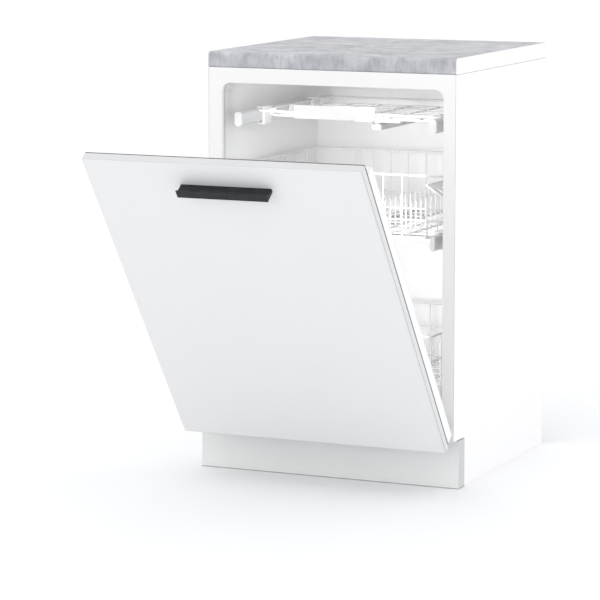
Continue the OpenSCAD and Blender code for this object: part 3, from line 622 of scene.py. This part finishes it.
def upper_basket():
    """Rings, cross wires bent into a trough, four rows of tines, and runners on the rails."""
    lo, hi = span("upper_basket")
    mid, top, y0, y1 = (lo.x + hi.x) / 2, hi.z - rim, lo.y + rim, hi.y - rim
    half = (hi.x - lo.x) / 2 - rim
    # its sides step inwards below, to clear the rails
    foot, floor, step = half - 39, top - 130, top - 93
    front_wire, shelf_wire = top - 69, top - 58
    tine, tine_rows, end_gap = 64, (-140, -70, 70, 140), 42.9
    paths = [(loop(mid, half, y0, y1, top), rim, True), (loop(mid, foot, y0, y1, floor, 12), rim, True)]
    paths.append((loop(mid, half, y0, y1, step, 10), hinge_wire, True))
    paths.append(([(mid - half, y0, front_wire), (mid + half, y0, front_wire)], wire, False))
    for x in (mid - half, mid + half):
        paths.append(([(x, y0, shelf_wire), (x, y1, shelf_wire)], hinge_wire, False))
    for y in spread(y0, y1, 9):
        bent = [(-half, top), (-half, step), (-foot, step), (-foot, floor)]
        bent += [(-x, z) for x, z in reversed(bent)]
        paths.append((eased([(mid + x, y, z) for x, z in bent], 14), wire, False))
    for x in spread(-147.5, 147.5, 8):
        bent = [(y0, top), (y0, floor), (y1, floor), (y1, top)]
        paths.append((eased([(mid + x, y, z) for y, z in bent], 5), wire, False))
    for x in spread(tine_rows[0], tine_rows[-1], 5):
        paths.append(([(mid + x, y0, floor), (mid + x, y1, floor)], wire, False))
    for x in tine_rows:
        for y in spread(y0 + end_gap, y1 - end_gap, 14):
            paths.append(tipped((mid + x, y, floor), (mid + x, y, floor + tine), wire))
    wires("upper_basket_wires", paths, "upper_rack", "rack_coating", ("upper_basket",))
    rail = span("upper_rails")
    rail_z, rail_h = (rail[0].z + rail[1].z) / 2, rail[1].z - rail[0].z
    rail_x, rail_w = 220.7, 10.2
    bm = bmesh.new()
    for s in (-1, 1):
        for y in (y0 + 40, y0 + 310):
            shoe(bm, mid, s, foot - 1, rail_x, rail_w, rail_h, rail_z, y)
    solid("upper_basket_runners", bm, "upper_rack", "rack_coating", ("upper_basket",), 0.7)


def lower_basket():
    """Rings, cross wires bent into a trough, four rows of tines, and a bracket with an axle per wheel."""
    lo, hi = span("lower_basket")
    wheel = span("wheels_front")
    wheel_z = (wheel[0].z + wheel[1].z) / 2
    wheel_mid = (wheel[0].x + wheel[1].x) / 2
    wheel_x = wheel[1].x - wheel_mid - 4
    mid, top, y0, y1 = wheel_mid, hi.z - rim, lo.y + rim, hi.y - rim
    half, floor, middle = 204.0, top - 118, top - 52
    tine, tine_rows, end_gap = 72, (-150, -75, 75, 150), 27.5
    paths = [(loop(mid, half, y0, y1, z, 14), r, True)
             for z, r in ((top, rim), (floor, rim), (middle, wire))]
    for y in spread(y0, y1, 9):
        bent = [(-half, top), (-half, floor), (half, floor), (half, top)]
        paths.append((eased([(mid + x, y, z) for x, z in bent], 6), wire, False))
    for x in spread(-half, half, 8)[1:-1]:
        bent = [(y0, top), (y0, floor), (y1, floor), (y1, top)]
        paths.append((eased([(mid + x, y, z) for y, z in bent], 6), wire, False))
    for x in spread(tine_rows[0], tine_rows[-1], 5):
        paths.append(([(mid + x, y0, floor), (mid + x, y1, floor)], wire, False))
    for x in tine_rows:
        for y in spread(y0 + end_gap, y1 - end_gap, 8):
            paths.append(tipped((mid + x, y, floor), (mid + x, y, floor + tine), wire))
    wires("lower_basket_wires", paths, "lower_rack", "rack_coating", ("lower_basket",))
    axle = [(4, half + 6), (4, wheel_x + 6)]
    axle_head = [(6.2, wheel_x + 4.7), (7, wheel_x + 5), (7, wheel_x + 6), (6, wheel_x + 6.5)]
    bm = bmesh.new()
    for s in (-1, 1):
        for node in ("wheels_front", "wheels_rear"):
            a, b = span(node)
            y = (a.y + b.y) / 2
            add_block(bm, (mid + s * (half + 1), y - 13, wheel_z - 10),
                      (mid + s * (half + 7), y + 13, floor + 6))
            add_turned(bm, axle, (mid, y, wheel_z), (s, 0, 0), 24)
            add_turned(bm, axle_head, (mid, y, wheel_z), (s, 0, 0), 24)
    solid("lower_basket_brackets", bm, "lower_rack", "rack_coating", ("lower_basket",), 0.6)


def cutlery_tray():
    """A shallow wire tray: a rim, a lower ring hung inside it, a grid, and runners on the rails."""
    lo, hi = span("cutlery_tray")
    rail = span("tray_rails")
    rail_z, rail_h = (rail[0].z + rail[1].z) / 2, rail[1].z - rail[0].z
    rail_x, rail_w = 220.3, 15.6
    mid, y0, y1 = (lo.x + hi.x) / 2, lo.y + rim, hi.y - rim
    half, low_half, inset = 207.0, 193.0, 38
    top = rail_z + 13
    low = top - 12
    paths = [(loop(mid, half, y0, y1, top, 14), rim, True),
             (loop(mid, low_half, y0 + inset, y1 - inset, low, 12), rim, True)]
    for y in spread(y0 + inset + 40, y1 - inset - 40, 7):
        paths.append(([(mid - low_half, y, low), (mid + low_half, y, low)], wire, False))
    for x in spread(-140, 140, 5):
        paths.append(([(mid + x, y0 + inset, low), (mid + x, y1 - inset, low)], wire, False))
    wires("cutlery_tray_wires", paths, "tray", "rack_coating", ("cutlery_tray",))
    bm = bmesh.new()
    for s in (-1, 1):
        for y in (y0 + 60, y0 + 162, y1 - 64):
            add_block(bm, (mid + s * (low_half - 1), y, low - 1), (mid + s * (half + 0.7), y + 6, top + 1))
        for y in (y0 + 32, y0 + 292):
            shoe(bm, mid, s, half - 1.3, rail_x, rail_w, rail_h, rail_z, y)
    solid("cutlery_tray_runners", bm, "tray", "rack_coating", ("cutlery_tray",), 0.6)


# ---------------------------------------------------------------- small metal parts
def coil_springs():
    """A wound spring round each hinge pin."""
    lo, hi = span("hinge_springs")
    r, thick, turns, length = (hi.y - lo.y) / 2 - 1.1, 1.05, 2.75, 4.9
    pins = span("hinge_pins")
    mid = (lo.x + hi.x) / 2
    y, z = (pins[0].y + pins[1].y) / 2, (pins[0].z + pins[1].z) / 2
    outer = hi.x - mid - thick
    paths = []
    for s in (-1, 1):
        points = []
        for t in spread(0, 1, 67):
            a = 2 * math.pi * turns * t
            points.append((mid + s * (outer - length * (1 - t)), y + r * math.cos(a), z + r * math.sin(a)))
        paths.append((points, thick, False))
    wires("coil_springs", paths, "cabinet", "hinge_steel", ("hinge_springs",))


def wheels():
    """A grooved tread round a dished hub, turned in one, for each of the four wheels."""
    for node, body in (("wheels_front", "front_wheels"), ("wheels_rear", "rear_wheels")):
        lo, hi = span(node)
        mid, y, z = (lo.x + hi.x) / 2, (lo.y + hi.y) / 2, (lo.z + hi.z) / 2
        r, w, bore = (hi.z - lo.z) / 2, 8.0, 4.1
        tread = [(r - 4, 0), (r - 0.8, 0), (r, 0.9), (r, w * 0.42), (r - 0.9, w * 0.5), (r, w * 0.58),
                 (r, w - 0.9), (r - 0.8, w), (r - 4, w), (r - 5, w - 1.4)]
        hub = [(bore + 3.4, w - 1.8), (bore + 2.6, w), (bore, w), (bore, 0.4), (bore + 2.6, 0),
               (bore + 3.4, 1.4), (r - 5, 1.2)]
        x = hi.x - mid - w
        bm = bmesh.new()
        for s in (-1, 1):
            add_turned(bm, tread + hub, (mid + s * x, y, z), (s, 0, 0), 48, True)
        solid(f"{node}_turned", bm, body, "wheel_plastic", (node,))


def board_parts():
    """Chips and capacitors on the circuit board, none of them under a key."""
    lo, hi = shut_span("control_board")
    y0, y1 = lo.y + 2, hi.y - 2
    top = lo.z + 1.6
    buttons = [shut_span(f"{name}_button") for name in ("power", "program", "start")]

    def clear(x, reach):
        return all(x + reach < a.x - 1 or x - reach > b.x + 1 for a, b in buttons)

    bm = bmesh.new()
    for k, x in enumerate(spread(lo.x + 30, hi.x - 30, 12)):
        w = 4 + 5 * (k % 3)
        y = y0 + 1.5 * (k % 4)
        if clear(x, w / 2):
            add_block(bm, (x - w / 2, y, top - 0.1), (x + w / 2, y + 7, top + 1.6 + k % 3))
    can = [(2.6, 0), (2.6, 4.2), (2.2, 4.8)]
    for x in spread(lo.x + 48, hi.x - 48, 7):
        if clear(x, can[0][0]):
            add_turned(bm, can, (x, y1 - 4, top - 0.1), (0, 0, 1), 20)
    solid("board_parts", bm, "door", "board_green", (), 0.15, True, look="control_face")


worktop()
back_sheet()
plinth_trim()
feet()
wheels()
board_parts()
door_front()
door_trim()
handle()
door_details()
upper_basket()
lower_basket()
cutlery_tray()
coil_springs()


# ---------------------------------------------------------------- studio
def lamp(name, place, aim, size, power, beam=180, seen=True):
    """A flat lamp that faces a point, with its beam's angle in degrees."""
    data = bpy.data.lights.new(name, "AREA")
    data.shape, data.energy = "RECTANGLE", power
    data.size, data.size_y = size
    data.spread = math.radians(beam)
    obj = bpy.data.objects.new(name, data)
    bpy.context.scene.collection.objects.link(obj)
    obj.location = place
    obj.rotation_euler = (Vector(aim) - Vector(place)).to_track_quat("-Z", "Y").to_euler()
    obj.visible_camera = seen


def studio():
    """A pale floor under an even sky, a lamp from the front and one from the side, two inside the mouth."""
    bpy.ops.mesh.primitive_plane_add(size=60, location=(0, 0, 0))
    floor = bpy.context.object
    floor.name = "floor"
    floor.data.materials.append(finish("studio_floor", (0.955, 0.96, 0.972), 0.8, 0.002, 2.0, 20.0, 0.0))
    world = bpy.data.worlds.new("studio")
    bpy.context.scene.world = world
    world.use_nodes = True
    sky = world.node_tree.nodes["Background"]
    sky.inputs["Color"].default_value = (1.0, 1.0, 1.0, 1)
    sky.inputs["Strength"].default_value = 1.08
    lamp("key", (-1.2, -5.4, 1.5), (0.1, 0.0, 0.5), (2.2, 2.2), 15)
    lamp("side", (4.2, -1.2, 0.6), (0.3, 0.2, 0.45), (1.8, 1.8), 14)
    mouth, tub = span("front_frame"), span("tub")
    mid = (tub[0].x + tub[1].x) / 2 * MM
    y = (mouth[1].y + 4) * MM
    under_top = tub[1].z * MM - 0.035
    lamp("tub_fill", (mid, y, 0.44), (mid - 0.04, y + 0.5, 0.47), (0.40, 0.60), 1.2, 132, False)
    lamp("tub_top_fill", (mid, y, under_top), (mid + 0.05, y + 0.5, 0.74), (0.42, 0.02), 0.17, 150, False)


def camera():
    """A long lens at the front right, looking slightly down from above the worktop's height."""
    place, lens = (2.45968, -5.71616, 1.32905), 179.39
    yaw, pitch = math.radians(23.83), math.radians(8.66)
    data = bpy.data.cameras.new("camera")
    data.sensor_width, data.lens = 36.0, lens
    data.clip_start, data.clip_end = 0.1, 200
    cam = bpy.data.objects.new("camera", data)
    bpy.context.scene.collection.objects.link(cam)
    cam.location = place
    cam.rotation_euler = (math.pi / 2 - pitch, 0, yaw)
    bpy.context.scene.camera = cam


studio()
camera()
bpy.context.scene.view_settings.view_transform = "Standard"
